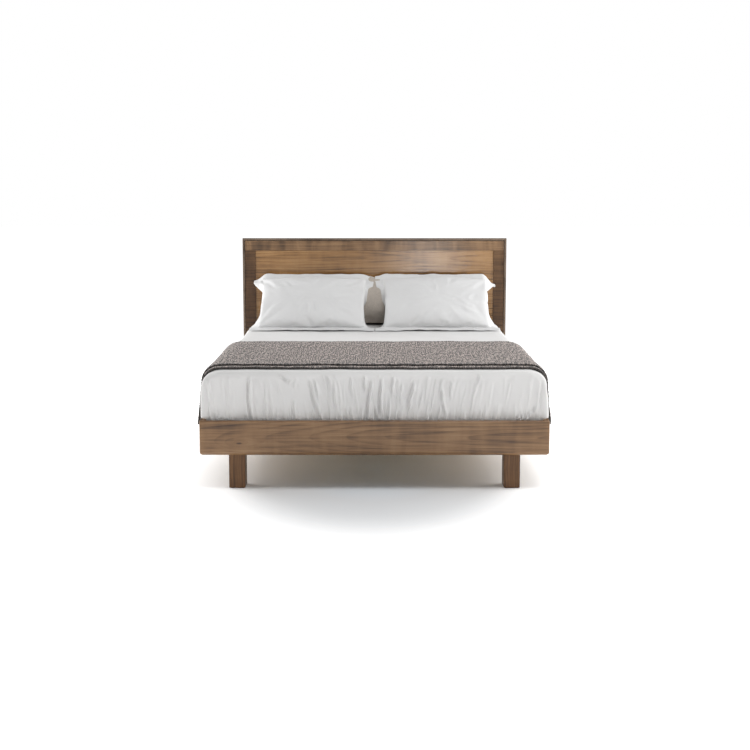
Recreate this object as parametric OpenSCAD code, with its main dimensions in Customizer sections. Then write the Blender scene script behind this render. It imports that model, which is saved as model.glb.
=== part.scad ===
// Queen-size platform bed: a flat framed headboard, a low box frame on block legs,
// a slatted deck, and a mattress dressed with duvet, throw and pillows.
// X runs across the bed, +Y towards the headboard, +Z up; the floor is z = 0.

/* [Mattress] */
// Width of the mattress, side to side
mattress_w = 1524; // [1370:2:1524]
// Length of the mattress, foot to head
mattress_l = 2032; // [1900:2:2032]
// Thickness of the mattress
mattress_h = 270; // [230:5:290]

/* [Frame] */
// Height of the rails' lower edge above the floor
clear_h = 163; // [120:1:200]
// Height of the front rail and the side rails
rail_h = 165; // [150:1:180]
// Thickness of the rails
rail_t = 28; // [24:1:36]
// Radius of the rails' lower outer edge
rail_r = 22; // [10:1:23]
// Gap between the mattress and a side rail, where the duvet is tucked in
side_gap = 35; // [30:1:45]
// Gap between the mattress and the front rail
foot_gap = 34; // [30:1:45]
// Depth from the rails' top edge down to the slats
deck_drop = 73; // [60:1:80]

/* [Legs] */
// Width of a corner leg
leg_w = 76; // [60:1:90]
// Depth of a corner leg, along the bed
leg_d = 100; // [80:1:120]
// Distance of a leg's middle from the middle of the bed
leg_x = 652; // [580:1:680]
// Width and depth of a leg under the centre beam
centre_leg_w = 45; // [40:1:60]
// Thickness of the pad under a leg
pad_t = 3; // [2:1:5]

/* [Headboard] */
// Height of the headboard's top edge above the floor
headboard_top = 1085; // [1000:1:1200]
// Thickness of the border boards
border_t = 24; // [20:1:28]
// Thickness of the board behind the panel and the borders
back_t = 16; // [12:1:20]
// Width of the lipping around the edge
trim_w = 12.5; // [8:0.5:16]
// Width of the shadow groove inside the lipping
groove_w = 3; // [2:0.5:5]
// Outer edge of the headboard to the centre panel, at the sides
border_side = 80; // [60:1:100]
// Outer edge of the headboard to the centre panel, at the top and bottom
border_top = 75; // [60:1:90]
// Depth of the centre panel's face behind the borders' faces
panel_step = 6; // [3:1:8]

/* [Deck] */
// Number of slats
slat_count = 14; // [10:1:16]
// Width of a slat
slat_w = 90; // [70:1:95]
// Thickness of a slat
slat_t = 18; // [15:1:22]

/* [Bedding] */
// Thickness of the duvet
duvet_t = 32; // [24:1:33]
// Radius of the duvet's top edges
duvet_r = 92; // [70:1:110]
// Thickness of the throw, folded in two
throw_t = 19; // [6:1:19]
// Width of the folded throw, along the bed
throw_band = 900; // [700:10:1100]
// Height of the throw's hem above the floor
throw_hem = 286; // [240:1:320]
// Width of a pillow, flange included
pillow_w = 740; // [650:5:750]
// Height of a pillow, flange included
pillow_h = 462; // [420:2:500]
// Thickness of a pillow
pillow_t = 156; // [100:2:170]
// Width of a pillow's flat flange
flange_w = 50; // [30:1:60]
// Width of the long cushion
cushion_w = 1100; // [800:10:1200]
// Height of the long cushion
cushion_h = 315; // [280:5:340]
// Thickness of the long cushion
cushion_t = 130; // [100:2:140]

/* [Hidden] */
$fn = 64;
fit = 0.1;             // clearance around a pressed or screwed-in piece
slack = 1;             // clearance around the tucked bedding
cut = 1;               // how far a cutting shape runs past the face it cuts

inner_w = mattress_w + 2 * side_gap;
frame_w = inner_w + 2 * rail_t;
head_gap = 6;
inner_l = foot_gap + mattress_l + head_gap;
headboard_t = border_t + back_t;
bed_l = rail_t + inner_l + headboard_t;
front_y = -bed_l / 2;
rail_y = front_y + rail_t;
head_y = rail_y + inner_l;

rail_top = clear_h + rail_h;
deck_z = rail_top - deck_drop;
slat_z = deck_z - slat_t;
ledge_w = 25;
ledge_h = 40;
screw_bite = 18;       // depth of a screw in the rail behind what it holds
ledge_screw_l = ledge_w + screw_bite;
ledge_end = 45;        // the ledges stop this far short, to clear the corner brackets
beam_w = 40;
beam_h = 70;
head_rail_h = 85;
leg_top = slat_z - 5;
leg_r = 4;
edge_r = 3;
corner_r = 10;

mattress_y = rail_y + foot_gap;
mattress_r = duvet_r - duvet_t;
plan_r = 60;
bed_top = deck_z + mattress_h + slack / 2 + duvet_t;
tuck_z = deck_z + 7;
duvet_head = 20;       // the duvet ends this far short of the headboard
throw_start = 87;      // the front rail's inner face to the throw's front edge
throw_flare = 24;      // how far the throw's hem stands out past its drop's top

trim_proud = 1.5;
hb_half = frame_w / 2;
panel_half = hb_half - border_side;
panel_low = clear_h + border_top;
panel_high = headboard_top - border_top;
field_half = hb_half - trim_w - groove_w;

bolt_r = 4;
insert_r = 6;
insert_l = 16;
screw_r = 2.2;
bracket_t = 3;
bracket_arm = 38;
bracket_h = 60;
bracket_z = clear_h + 8;
hanger_d = 42;
ear_w = 22;

centre_leg_y = [-20, 630];
leg_bolt_z = [clear_h + 17, clear_h + 52];
bolt_x = [-500, -250, 250, 500];
ledge_screws_n = 7;
stud_l = 60;
bracket_screw_z = [bracket_z + 15, bracket_z + bracket_h - 15];
hanger_screw_z = [slat_z - beam_h + 15, slat_z - 15];
ear_x = beam_w / 2 + bracket_t + ear_w / 2;

deck_l = inner_l - rail_t;
slat_margin = 15;
slat_start = rail_y + slat_margin;
slat_pitch = (deck_l - 2 * slat_margin - slat_w) / (slat_count - 1);
slat_screw_depth = 15;

pillow_lean = 42.3;
pillow_x = pillow_w / 2 + 4;
pillow_rise = pillow_h / 2 * sin(pillow_lean) + 3;
pillow_y = head_y - 269;
cushion_lean = 62;
cushion_y = head_y - 88;
cushion_rise = cushion_h / 2 * sin(cushion_lean) + 8;

// ---- shared shapes ----

// What is cut off a lower left corner to round it
module corner_cut(r) {
    difference() {
        translate([-cut, -cut]) square(r + cut);
        translate([r, r]) circle(r);
    }
}

// Rectangle from the origin; r holds the radii at lower left, lower right, upper right, upper left
module rounded(w, h, r) {
    difference() {
        square([w, h]);
        if (r[0] > 0) corner_cut(r[0]);
        if (r[1] > 0) translate([w, 0]) mirror([1, 0]) corner_cut(r[1]);
        if (r[2] > 0) translate([w, h]) mirror([1, 0]) mirror([0, 1]) corner_cut(r[2]);
        if (r[3] > 0) translate([0, h]) mirror([0, 1]) corner_cut(r[3]);
    }
}

// Extrudes an outline drawn in X and Z along +Y, from y = 0
module along_y(l) {
    translate([0, l, 0]) rotate([90, 0, 0]) linear_extrude(l) children();
}

// Extrudes an outline drawn in Y and Z along +X, from x = 0
module along_x(l) {
    rotate([90, 0, 90]) linear_extrude(l) children();
}

// Block on z = 0 with its foot end at y = 0: radii of the plan corners, the top side
// edges, the bottom edges and the top edges at the foot and at the head
module soft_block(w, l, h, plan, top, bottom, foot, head) {
    intersection() {
        translate([-w / 2, 0, 0]) linear_extrude(h) rounded(w, l, plan);
        translate([-w / 2, 0, 0]) along_y(l) rounded(w, h, [bottom, bottom, top, top]);
        translate([-w / 2, 0, 0]) along_x(w) rounded(l, h, [bottom, bottom, head, foot]);
    }
}

// Pointed oval, len across and t thick, centred on the origin
module lens(len, t) {
    r = (pow(len / 2, 2) + pow(t / 2, 2)) / t;
    intersection() {
        translate([0, r - t / 2]) circle(r, $fn = 180);
        translate([0, t / 2 - r]) circle(r, $fn = 180);
    }
}

// Stuffed cushion standing up in X and Z, centred, with a flat rim of the given width
module stuffed(w, h, t, rim, rim_t) {
    filled_w = w - 2 * rim;
    filled_h = h - 2 * rim;
    union() {
        intersection() {
            translate([0, 0, -filled_h / 2]) linear_extrude(filled_h) lens(filled_w, t);
            translate([-filled_w / 2, 0, 0]) along_x(filled_w) rotate(90) lens(filled_h, t);
        }
        translate([-w / 2, -rim_t / 2, -h / 2]) along_y(rim_t) rounded(w, h, [8, 8, 8, 8]);
    }
}

// Round bar along +Y from y = 0
module bar_y(r, l) {
    rotate([-90, 0, 0]) cylinder(h = l, r = r);
}

// Moves what is drawn at the foot end to the head end, turned to face the foot
module at_head() {
    translate([0, rail_y + head_y - rail_t, 0]) mirror([0, 1, 0]) children();
}

// Draws its children at the middle of each corner leg's foot
module at_legs() {
    for (x = [-leg_x, leg_x]) {
        translate([x, rail_y + leg_d / 2, 0]) children();
        at_head() translate([x, rail_y + leg_d / 2, 0]) children();
    }
}

// Draws its children at the bolt places of the foot end's legs
module at_front_leg_bolts() {
    for (x = [-leg_x, leg_x]) {
        for (z = leg_bolt_z) {
            translate([x, rail_y, z]) children();
        }
    }
}

// Draws its children at the bolt places of all four legs, with +Y pointing into the leg
module at_leg_bolts() {
    at_front_leg_bolts() children();
    at_head() at_front_leg_bolts() children();
}

// Draws its children at the corner brackets, with +X and +Y pointing into the frame
module at_corners() {
    for (m = [0, 1]) {
        mirror([m, 0, 0]) {
            translate([-inner_w / 2, rail_y, 0]) children();
            at_head() translate([-inner_w / 2, rail_y, 0]) children();
        }
    }
}

// Draws its children at the beam's two ends, with +Y pointing along the beam into the frame
module at_beam_ends() {
    translate([0, rail_y, 0]) children();
    at_head() translate([0, rail_y, 0]) children();
}

// A wood screw along -Y: its head's underside at y = 0 and its tip at y = -l
module screw_y(l) {
    translate([0, -l, 0]) bar_y(screw_r, l + 1);
    bar_y(2 * screw_r, 2.5);
}

// All the screws of the brackets and hangers, or their holes when grown by a clearance
module bracket_screw_set(grow) {
    l = screw_bite + bracket_t;
    at_corners() {
        for (z = bracket_screw_z) {
            translate([bracket_arm - 12, bracket_t, z]) fastener(l, grow);
            translate([bracket_t, bracket_arm - 12, z]) rotate(-90) fastener(l, grow);
        }
    }
    at_beam_ends() {
        for (x = [-ear_x, ear_x]) {
            for (z = hanger_screw_z) {
                translate([x, bracket_t, z]) fastener(l, grow);
            }
        }
    }
}

// A screw, or the plain hole for it when grow is more than 0
module fastener(l, grow) {
    if (grow > 0) {
        translate([0, -l - grow, 0]) bar_y(screw_r + grow, l + 2 * grow);
    } else {
        screw_y(l);
    }
}

// Draws its children at each screw that holds a ledge to the left side rail
module at_ledge_screws() {
    pitch = (deck_l - 2 * ledge_end) / ledge_screws_n;
    for (i = [0 : ledge_screws_n - 1]) {
        y = rail_y + ledge_end + (i + 0.5) * pitch;
        translate([-inner_w / 2 + ledge_w, y, slat_z - ledge_h + 12]) children();
    }
}

// Draws its children at both ends of one slat, on its top face
module at_slat_ends(i) {
    for (x = [-1, 1]) {
        y = slat_start + (i - 1) * slat_pitch + slat_w / 2;
        translate([x * (inner_w / 2 - ledge_w / 2), y, deck_z]) children();
    }
}

// ---- frame ----

module front_rail() {
    color("#7d5d43") difference() {
        translate([0, front_y, clear_h]) intersection() {
            translate([-frame_w / 2, 0, 0]) linear_extrude(rail_h)
                rounded(frame_w, rail_t, [corner_r, corner_r, 0, 0]);
            translate([-frame_w / 2, 0, 0]) along_y(rail_t)
                rounded(frame_w, rail_h, [rail_r, rail_r, edge_r, edge_r]);
            translate([-frame_w / 2, 0, 0]) along_x(frame_w)
                rounded(rail_t, rail_h, [rail_r, 0, 0, edge_r]);
        }
        insert_holes();
        bracket_screw_set(fit);
    }
}

// The holes for the threaded inserts that take the leg bolts at the foot end
module insert_holes() {
    at_front_leg_bolts() translate([0, -insert_l - fit, 0])
        bar_y(insert_r + fit, insert_l + cut);
}

module left_side_rail() {
    color("#745640") difference() {
        translate([-frame_w / 2, rail_y, clear_h]) along_y(inner_l - trim_proud)
            rounded(rail_t, rail_h, [rail_r, 0, edge_r, edge_r]);
        bracket_screw_set(fit);
        at_ledge_screws() rotate(-90) fastener(ledge_screw_l, fit);
    }
}

module right_side_rail() {
    mirror([1, 0, 0]) left_side_rail();
}

module head_rail() {
    color("#6d5039") difference() {
        translate([-inner_w / 2, head_y - rail_t, clear_h])
            cube([inner_w, rail_t, head_rail_h]);
        at_head() insert_holes();
        bracket_screw_set(fit);
        at_headboard_bolts() translate([0, -cut, 0]) bar_y(bolt_r + fit, rail_t + 2 * cut);
    }
}

// A block leg with the holes for its two bolts, drawn for the front left corner
module leg() {
    color("#5f4836") difference() {
        translate([-leg_x - leg_w / 2, rail_y, pad_t]) linear_extrude(leg_top - pad_t)
            rounded(leg_w, leg_d, [leg_r, leg_r, leg_r, leg_r]);
        at_front_leg_bolts() {
            translate([0, -cut, 0]) bar_y(bolt_r + fit, leg_d + 2 * cut);
            translate([0, leg_d - 9, 0]) bar_y(9, 9 + cut);
        }
    }
}

module leg_bolts() {
    color("#8a8d90") at_leg_bolts() {
        translate([0, 2 - insert_l, 0]) bar_y(bolt_r, leg_d + insert_l - 9);
        translate([0, leg_d - 9, 0]) bar_y(1.75 * bolt_r, 5);
    }
}

module leg_inserts() {
    color("#b08d4a") at_leg_bolts() difference() {
        translate([0, -insert_l, 0]) bar_y(insert_r, insert_l);
        translate([0, -insert_l - cut, 0]) bar_y(bolt_r + fit, insert_l + 2 * cut);
    }
}

module foot_pads() {
    inset = 5;
    color("#3a3633") {
        at_legs() translate([inset - leg_w / 2, inset - leg_d / 2, 0]) linear_extrude(pad_t)
            rounded(leg_w - 2 * inset, leg_d - 2 * inset, [leg_r, leg_r, leg_r, leg_r]);
        for (y = centre_leg_y) {
            w = centre_leg_w - 2 * inset;
            translate([-w / 2, y - w / 2, 0]) linear_extrude(pad_t)
                rounded(w, w, [leg_r, leg_r, leg_r, leg_r]);
        }
    }
}

module corner_brackets() {
    color("#74777a") difference() {
        at_corners() translate([0, 0, bracket_z]) {
            cube([bracket_arm, bracket_t, bracket_h]);
            cube([bracket_t, bracket_arm, bracket_h]);
        }
        bracket_screw_set(fit);
    }
}

module bracket_screws() {
    color("#9a9c9e") bracket_screw_set(0);
}

module left_ledge() {
    color("#c8a878") difference() {
        translate([-inner_w / 2, rail_y + ledge_end, slat_z - ledge_h])
            cube([ledge_w, deck_l - 2 * ledge_end, ledge_h]);
        at_ledge_screws() rotate(-90) fastener(ledge_screw_l, fit);
        slat_screw_holes();
    }
}

module right_ledge() {
    mirror([1, 0, 0]) left_ledge();
}

module ledge_screws() {
    color("#9a9c9e") for (m = [0, 1]) {
        mirror([m, 0, 0]) at_ledge_screws() rotate(-90) screw_y(ledge_screw_l);
    }
}

module centre_beam() {
    gap = bracket_t + 1;
    color("#c4a271") difference() {
        translate([-beam_w / 2, rail_y + gap, slat_z - beam_h])
            cube([beam_w, deck_l - 2 * gap, beam_h]);
        centre_leg_stud_holes();
    }
}

// Steel saddles that hold the beam's ends: a trough and two screwed ears
module beam_hangers() {
    low = slat_z - beam_h;
    wide = beam_w / 2 + bracket_t;
    color("#74777a") difference() {
        at_beam_ends() {
            translate([-wide, 0, low - bracket_t]) cube([2 * wide, hanger_d, bracket_t]);
            for (x = [-wide, beam_w / 2]) {
                translate([x, 0, low - bracket_t]) cube([bracket_t, hanger_d, beam_h]);
            }
            for (x = [-wide - ear_w, wide]) {
                translate([x, 0, low]) cube([ear_w, bracket_t, beam_h - 3]);
            }
        }
        bracket_screw_set(fit);
    }
}

module centre_leg(y) {
    low = -centre_leg_w / 2;
    color("#5a4534") difference() {
        translate([low, y + low, pad_t]) linear_extrude(slat_z - beam_h - pad_t)
            rounded(centre_leg_w, centre_leg_w, [leg_r, leg_r, leg_r, leg_r]);
        centre_leg_stud_holes();
    }
}

module centre_leg_studs() {
    color("#8a8d90") for (y = centre_leg_y) {
        translate([0, y, slat_z - beam_h - stud_l / 2]) cylinder(h = stud_l, r = bolt_r);
    }
}

module centre_leg_stud_holes() {
    for (y = centre_leg_y) {
        translate([0, y, slat_z - beam_h - stud_l / 2 - fit])
            cylinder(h = stud_l + 2 * fit, r = bolt_r + fit);
    }
}

// ---- slatted deck ----

module slat(i) {
    half = inner_w / 2 - 3;
    color("#d8bd92") difference() {
        translate([-half, slat_start + (i - 1) * slat_pitch, slat_z])
            cube([2 * half, slat_w, slat_t]);
        at_slat_ends(i) {
            translate([0, 0, -slat_t - cut]) cylinder(h = slat_t + 2 * cut, r = screw_r + fit);
            translate([0, 0, -3]) cylinder(h = 3 + cut, r = 2 * screw_r + 0.3);
        }
    }
}

module slat_screws() {
    color("#9a9c9e") for (i = [1 : slat_count]) {
        at_slat_ends(i) {
            translate([0, 0, -slat_t - slat_screw_depth])
                cylinder(h = slat_t + slat_screw_depth - 1, r = screw_r);
            translate([0, 0, -3]) cylinder(h = 2.5, r = 2 * screw_r);
        }
    }
}

module slat_screw_holes() {
    for (i = [1 : slat_count]) {
        at_slat_ends(i) translate([0, 0, -slat_t - slat_screw_depth - fit])
            cylinder(h = slat_screw_depth + cut, r = screw_r + fit);
    }
}

// ---- headboard ----

// A board that stands in X and Z: x and z from and to, y from and thickness
module upright(x0, x1, z0, z1, y, t) {
    translate([x0, y, z0]) cube([x1 - x0, t, z1 - z0]);
}

module headboard_panel() {
    color("#8f7055")
        upright(-panel_half, panel_half, panel_low, panel_high,
            head_y + panel_step, border_t - panel_step);
}

module headboard_back() {
    half = hb_half - trim_w;
    color("#5d4533") difference() {
        upright(-half, half, clear_h + trim_w, headboard_top - trim_w, head_y + border_t, back_t);
        headboard_insert_holes();
    }
}

module headboard_top_border() {
    high = headboard_top - trim_w - groove_w;
    color("#826750") upright(-field_half, field_half, panel_high, high, head_y, border_t);
}

module headboard_bottom_border() {
    low = clear_h + trim_w + groove_w;
    color("#826750") difference() {
        upright(-field_half, field_half, low, panel_low, head_y, border_t);
        headboard_insert_holes();
    }
}

module headboard_left_border() {
    color("#6c5643") upright(-field_half, -panel_half, panel_low, panel_high, head_y, border_t);
}

module headboard_right_border() {
    mirror([1, 0, 0]) headboard_left_border();
}

// Lipping along the top edge, mitred at both ends, from proud of the borders to the back
module long_trim(proud) {
    in = hb_half - trim_w;
    color("#817467") translate([0, head_y - proud, 0]) along_y(headboard_t + proud)
        polygon([
            [-hb_half, headboard_top],
            [hb_half, headboard_top],
            [in, headboard_top - trim_w],
            [-in, headboard_top - trim_w]
        ]);
}

module headboard_top_trim() {
    long_trim(trim_proud);
}

// Flush with the borders, because the rails butt against it
module headboard_bottom_trim() {
    translate([0, 0, headboard_top + clear_h]) mirror([0, 0, 1]) long_trim(0);
}

module headboard_left_trim() {
    in = hb_half - trim_w;
    color("#817467") translate([0, head_y - trim_proud, 0]) along_y(headboard_t + trim_proud)
        polygon([
            [-hb_half, clear_h],
            [-hb_half, headboard_top],
            [-in, headboard_top - trim_w],
            [-in, clear_h + trim_w]
        ]);
}

module headboard_right_trim() {
    mirror([1, 0, 0]) headboard_left_trim();
}

// Draws its children at the bolts that hold the headboard, on the head rail's face
module at_headboard_bolts() {
    for (x = bolt_x) {
        translate([x, head_y - rail_t, clear_h + 45]) children();
    }
}

module headboard_bolts() {
    color("#8a8d90") at_headboard_bolts() {
        bar_y(bolt_r, rail_t + 26);
        translate([0, -5, 0]) bar_y(1.75 * bolt_r, 5);
    }
}

module headboard_inserts() {
    color("#b08d4a") at_headboard_bolts() difference() {
        translate([0, rail_t, 0]) bar_y(insert_r, 28);
        translate([0, rail_t - cut, 0]) bar_y(bolt_r + fit, 28 + 2 * cut);
    }
}

module headboard_insert_holes() {
    at_headboard_bolts() translate([0, rail_t - cut, 0]) bar_y(insert_r + fit, 29 + fit);
}

// ---- bedding ----

module mattress() {
    r = mattress_r;
    color("#e9e7e2") translate([0, mattress_y, deck_z])
        soft_block(mattress_w, mattress_l, mattress_h, [plan_r, plan_r, plan_r, plan_r],
            r, 20, r, r);
}

// Cover of even thickness over the mattress, tucked in at the foot and the sides
module duvet() {
    outer_w = inner_w - 2 * slack;
    inside_w = mattress_w + 2 * slack;
    inside_r = duvet_r - duvet_t;
    foot_t = foot_gap - 2 * slack;
    l = inner_l - slack - duvet_head;
    color("#cdcbc8") translate([0, rail_y + slack, 0]) difference() {
        translate([0, 0, tuck_z])
            soft_block(outer_w, l, bed_top - tuck_z, [plan_r, plan_r, 0, 0],
                duvet_r, 0, duvet_r, 0);
        translate([0, foot_t, tuck_z - cut])
            soft_block(inside_w, l, bed_top - duvet_t - tuck_z + cut, [plan_r / 2, plan_r / 2, 0, 0],
                inside_r, 0, inside_r, 0);
    }
}

// Points on a round of radius r about (x, z), from one angle to another
function round_points(x, z, r, from, to) = [
    for (i = [0 : 12]) let (a = from + (to - from) * i / 12) [x + r * cos(a), z + r * sin(a)]
];

// The throw lies across the bed and hangs outside the side rails, flared towards its hem
module throw() {
    out_r = duvet_r - slack + throw_t;
    in_r = out_r - throw_t;
    z = bed_top + slack + throw_t - out_r;
    x = frame_w / 2 + 2 - out_r;
    hem_x = x + out_r + throw_flare;
    outline = concat(
        [[throw_t - hem_x, throw_hem], [-hem_x, throw_hem]],
        round_points(-x, z, out_r, 180, 90),
        round_points(x, z, out_r, 90, 0),
        [[hem_x, throw_hem], [hem_x - throw_t, throw_hem]],
        round_points(x, z, in_r, 0, 90),
        round_points(-x, z, in_r, 90, 180)
    );
    color("#8f8784") translate([0, rail_y + throw_start, 0]) along_y(throw_band)
        polygon(outline);
}

module long_cushion() {
    color("#999189") translate([0, cushion_y, bed_top + cushion_rise])
        rotate([cushion_lean - 90, 0, 0]) stuffed(cushion_w, cushion_h, cushion_t, 4, 10);
}

// A pillow with a flat flange, reclined towards the headboard
module right_pillow() {
    color("#dcdbda") translate([pillow_x, pillow_y, bed_top + pillow_rise])
        rotate([pillow_lean - 90, 0, 0]) stuffed(pillow_w, pillow_h, pillow_t, flange_w, 5);
}

module left_pillow() {
    mirror([1, 0, 0]) right_pillow();
}

// ---- assembly ----

front_rail();
left_side_rail();
right_side_rail();
head_rail();
leg();  // front_left_leg
mirror([1, 0, 0]) leg();  // front_right_leg
at_head() leg();  // rear_left_leg
mirror([1, 0, 0]) at_head() leg();  // rear_right_leg
leg_bolts();
leg_inserts();
foot_pads();
corner_brackets();
bracket_screws();
left_ledge();
right_ledge();
ledge_screws();
centre_beam();
beam_hangers();
centre_leg(centre_leg_y[0]);  // centre_leg_front
centre_leg(centre_leg_y[1]);  // centre_leg_rear
centre_leg_studs();
for (i = [1 : slat_count]) {
    slat(i);
}
slat_screws();
headboard_panel();
headboard_back();
headboard_top_border();
headboard_bottom_border();
headboard_left_border();
headboard_right_border();
headboard_top_trim();
headboard_bottom_trim();
headboard_left_trim();
headboard_right_trim();
headboard_bolts();
headboard_inserts();
mattress();
duvet();
throw();
long_cushion();
left_pillow();
right_pillow();
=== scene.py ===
"""Looks for the platform bed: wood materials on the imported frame, and soft bedding around it."""
import math

import bpy
import numpy as np
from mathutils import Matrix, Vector
from mathutils.bvhtree import BVHTree


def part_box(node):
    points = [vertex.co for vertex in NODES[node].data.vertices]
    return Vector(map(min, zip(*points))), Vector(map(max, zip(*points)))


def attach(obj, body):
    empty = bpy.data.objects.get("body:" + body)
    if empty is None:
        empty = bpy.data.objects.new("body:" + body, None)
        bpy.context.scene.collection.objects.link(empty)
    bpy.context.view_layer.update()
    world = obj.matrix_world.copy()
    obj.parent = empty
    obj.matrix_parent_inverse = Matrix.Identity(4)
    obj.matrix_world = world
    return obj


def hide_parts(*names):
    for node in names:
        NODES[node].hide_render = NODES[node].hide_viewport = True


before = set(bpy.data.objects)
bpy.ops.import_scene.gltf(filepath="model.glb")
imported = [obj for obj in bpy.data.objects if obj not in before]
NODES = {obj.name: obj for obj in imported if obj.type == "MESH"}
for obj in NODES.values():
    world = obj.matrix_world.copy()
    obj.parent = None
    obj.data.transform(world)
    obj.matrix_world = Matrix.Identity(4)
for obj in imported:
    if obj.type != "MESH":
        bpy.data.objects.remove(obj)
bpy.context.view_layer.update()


# ---- helpers for materials ----


def linear(r, g, b):
    """Linear colour of an 8-bit sRGB colour."""
    return tuple((c / 255 / 12.92) if c <= 10 else ((c / 255 + 0.055) / 1.055) ** 2.4
                 for c in (r, g, b)) + (1.0,)


def shade(tone, factor):
    """Linear colour of a darker or lighter version of a tone."""
    return linear(*[factor * c for c in tone])


class Surface:
    """A Principled material and short calls for the nodes that feed it."""

    def __init__(self, name, **constants):
        self.material = bpy.data.materials.new(name)
        self.material.use_nodes = True
        self.tree = self.material.node_tree
        self.shader = self.tree.nodes["Principled BSDF"]
        for socket, value in constants.items():
            self.shader.inputs[socket.replace("_", " ")].default_value = value

    def node(self, kind, inputs=None, **settings):
        made = self.tree.nodes.new("ShaderNode" + kind)
        for key, value in settings.items():
            setattr(made, key, value)
        for key, value in (inputs or {}).items():
            self.feed(made.inputs[key], value)
        return made

    def feed(self, socket, value):
        if isinstance(value, bpy.types.NodeSocket):
            self.tree.links.new(value, socket)
        else:
            socket.default_value = value

    def math(self, operation, a, b=0.0, c=0.0):
        return self.node("Math", {0: a, 1: b, 2: c}, operation=operation).outputs[0]

    def add(self, a, b):
        return self.math("ADD", a, b)

    def sub(self, a, b):
        return self.math("SUBTRACT", a, b)

    def mul(self, a, b):
        return self.math("MULTIPLY", a, b)

    def div(self, a, b):
        return self.math("DIVIDE", a, b)

    def mul_add(self, a, b, c):
        return self.math("MULTIPLY_ADD", a, b, c)

    def split(self, vector):
        """The X, Y and Z of a vector."""
        return self.node("SeparateXYZ", {0: vector}).outputs

    def joined(self, x, y, z=0.0):
        return self.node("CombineXYZ", {0: x, 1: y, 2: z}).outputs[0]

    def position(self, scale=(1, 1, 1), shift=(0, 0, 0)):
        """Coordinates of the piece in metres, scaled and shifted."""
        where = self.node("TexCoord").outputs["Object"]
        return self.node("Mapping", {"Vector": where, "Scale": scale, "Location": shift}).outputs[0]

    def noise(self, where, scale=1.0, detail=2.0, roughness=0.5, distortion=0.0):
        made = self.node("TexNoise", {"Vector": where, "Scale": scale, "Detail": detail,
                                      "Roughness": roughness, "Distortion": distortion})
        return made.outputs["Fac"]

    def span(self, value, low, high, to_low=0.0, to_high=1.0, smooth=False):
        """Maps value from low..high to to_low..to_high, clamped."""
        made = self.node("MapRange", {"Value": value, "From Min": low, "From Max": high,
                                      "To Min": to_low, "To Max": to_high},
                         interpolation_type="SMOOTHSTEP" if smooth else "LINEAR")
        return made.outputs[0]

    def ramp(self, value, stops):
        made = self.node("ValToRGB", {"Fac": value})
        line = made.color_ramp.elements
        while len(line) < len(stops):
            line.new(0.5)
        for element, (place, colour) in zip(line, stops):
            element.position = place
            element.color = colour
        return made.outputs["Color"]

    def mix(self, factor, a, b):
        """Mixes colours: inputs 6 and 7 and output 2 of the node are its colour sockets."""
        made = self.node("Mix", data_type="RGBA")
        for socket, value in ((0, factor), (6, a), (7, b)):
            self.feed(made.inputs[socket], value)
        return made.outputs[2]

    def bump(self, height, distance, strength=1.0):
        made = self.node("Bump", {"Height": height, "Distance": distance, "Strength": strength})
        self.feed(self.shader.inputs["Normal"], made.outputs[0])

    def colour(self, value):
        self.feed(self.shader.inputs["Base Color"], value)

    def rough(self, value):
        self.feed(self.shader.inputs["Roughness"], value)


def paint(names, surface):
    """Gives the CAD nodes a material of their own."""
    for name in names:
        NODES[name].data.materials.clear()
        NODES[name].data.materials.append(surface.material)


# ---- wood ----

AXES = {"x": (0, 2, 1), "y": (1, 2, 0), "z": (2, 0, 1)}


def knotted(s, turns, along, across):
    """Bends the rings around a knot, and gives the darkness of its eye."""
    eye = 0.0
    for long, wide, amount in ((0.085, 0.028, -2.2), (0.011, 0.0032, 0.0)):
        far = s.add(s.math("POWER", s.div(along, long), 2.0),
                    s.math("POWER", s.div(across, wide), 2.0))
        eye = s.math("EXPONENT", s.mul(far, -1.0))
        turns = s.mul_add(eye, amount, turns)
    return turns, eye


def ring_lines(s, turns, patch):
    """Dark late-wood lines, one to a turn, stronger in some patches than in others."""
    ring = s.math("FRACT", turns)
    band = s.mul(s.span(ring, 0.30, 0.94, smooth=True), s.span(ring, 0.94, 1.0, 1.0, 0.0))
    return s.mul(s.math("POWER", band, 1.7), s.span(patch, 0.3, 0.7, 0.25, 1.0))


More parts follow.
